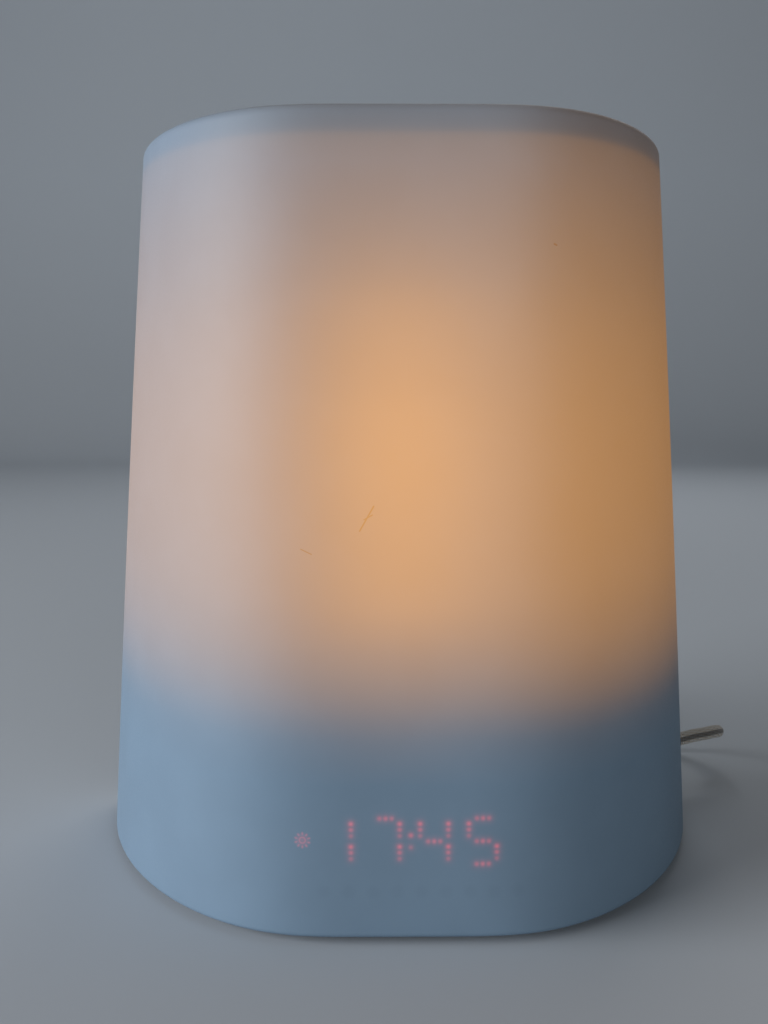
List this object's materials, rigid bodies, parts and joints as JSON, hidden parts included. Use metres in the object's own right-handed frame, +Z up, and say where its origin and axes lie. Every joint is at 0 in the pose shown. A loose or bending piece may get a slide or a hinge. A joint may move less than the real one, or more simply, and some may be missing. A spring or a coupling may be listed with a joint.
{
  "type": "sunrise alarm clock",
  "caption": "Free-standing sunrise alarm clock: a frosted light shell with a lamp chamber over a red dot display, side push-buttons, a rear loudspeaker and a braided mains lead.",
  "frame": {"origin": "on the surface the clock stands on, under the middle of its body, the lead not counted", "axes": "+X to the right as seen from the display, +Y to the back, +Z up"},
  "size_m": [0.2558, 0.2537, 0.252],
  "materials": {
    "frosted_shell": "satin",
    "white_housing": "satin",
    "base_plastic": "matte",
    "foot_rubber": "matte",
    "screw_steel": "satin",
    "chamber_white": "matte",
    "reflector_white": "semi-gloss",
    "holder_ceramic": "glazed",
    "zinc_steel": "satin",
    "lamp_glass": "frosted",
    "lamp_brass": "satin",
    "clear_glass": "clear",
    "filament_wire": "glowing",
    "mask_black": "matte",
    "dot_red": "satin",
    "circuit_green": "satin",
    "core_steel": "satin",
    "winding_copper": "varnished",
    "capacitor_sleeve": "satin",
    "sink_aluminium": "extruded",
    "black_plastic": "matte",
    "terminal_plastic": "satin",
    "magnet_grey": "matte",
    "cone_paper": "matte",
    "surround_rubber": "matte",
    "wire_insulation": "satin",
    "button_plastic": "satin",
    "cord_braid": "braided",
    "boot_rubber": "matte",
    "tie_fabric": "woven",
    "plug_plastic": "satin",
    "plug_metal": "nickel plated"
  },
  "bodies": {
    "housing": {"front_shell": "frosted_shell", "rear_frame": "white_housing", "back_cover": "white_housing", "base_plate": "base_plastic", "rubber_feet": "foot_rubber", "base_screws": "screw_steel", "back_screws": "screw_steel", "chamber_floor": "chamber_white", "chamber_roof": "chamber_white", "reflector": "reflector_white", "lamp_holder": "holder_ceramic", "holder_bracket": "zinc_steel", "lamp_glass": "lamp_glass", "lamp_cap": "lamp_brass", "lamp_stem": "clear_glass", "lamp_filament": "filament_wire", "display_mask": "mask_black", "dot_light_guide": "dot_red", "display_board": "circuit_green", "display_bracket": "base_plastic", "main_board": "circuit_green", "transformer_core": "core_steel", "transformer_winding": "winding_copper", "capacitors": "capacitor_sleeve", "heatsink": "sink_aluminium", "triac": "black_plastic", "terminal_block": "terminal_plastic", "speaker_frame": "core_steel", "speaker_magnet": "magnet_grey", "speaker_surround": "surround_rubber", "lamp_wires": "wire_insulation", "inner_lead": "wire_insulation", "left_switch_board": "circuit_green", "right_switch_board": "circuit_green", "left_key_switches": "black_plastic", "right_key_switches": "black_plastic", "left_board_carrier": "base_plastic", "right_board_carrier": "base_plastic", "cord_boot": "boot_rubber", "mains_cord": "cord_braid", "mains_coil": "cord_braid", "mains_tail": "cord_braid", "coil_tie": "tie_fabric", "plug_body": "plug_plastic", "plug_pins": "plug_metal"},
    "light_key": {"light_button": "button_plastic", "light_plunger": "black_plastic"},
    "brighter_key": {"brighter_button": "button_plastic", "brighter_plunger": "black_plastic"},
    "dimmer_key": {"dimmer_button": "button_plastic", "dimmer_plunger": "black_plastic"},
    "alarm_key": {"alarm_button": "button_plastic", "alarm_plunger": "black_plastic"},
    "louder_key": {"louder_button": "button_plastic", "louder_plunger": "black_plastic"},
    "quieter_key": {"quieter_button": "button_plastic", "quieter_plunger": "black_plastic"},
    "cone": {"speaker_cone": "cone_paper", "voice_coil": "winding_copper"}
  },
  "joints": [
    {"name": "light_press", "type": "slide", "parent": "housing", "child": "light_key", "axis": [1, 0, 0], "range_m": [0, 0.0005], "stiffness_N_per_m": 2500, "springref_m": -0.0004},
    {"name": "brighter_press", "type": "slide", "parent": "housing", "child": "brighter_key", "axis": [1, 0, 0], "range_m": [0, 0.0005], "stiffness_N_per_m": 2500, "springref_m": -0.0004},
    {"name": "dimmer_press", "type": "slide", "parent": "housing", "child": "dimmer_key", "axis": [1, 0, 0], "range_m": [0, 0.0005], "stiffness_N_per_m": 2500, "springref_m": -0.0004},
    {"name": "alarm_press", "type": "slide", "parent": "housing", "child": "alarm_key", "axis": [-1, 0, 0], "range_m": [0, 0.0005], "stiffness_N_per_m": 2500, "springref_m": -0.0004},
    {"name": "louder_press", "type": "slide", "parent": "housing", "child": "louder_key", "axis": [-1, 0, 0], "range_m": [0, 0.0005], "stiffness_N_per_m": 2500, "springref_m": -0.0004},
    {"name": "quieter_press", "type": "slide", "parent": "housing", "child": "quieter_key", "axis": [-1, 0, 0], "range_m": [0, 0.0005], "stiffness_N_per_m": 2500, "springref_m": -0.0004},
    {"name": "cone_stroke", "type": "slide", "parent": "housing", "child": "cone", "axis": [0, 1, 0], "range_m": [-0.0008, 0.0008], "stiffness_N_per_m": 3000, "deforming": ["speaker_surround"]}
  ]
}
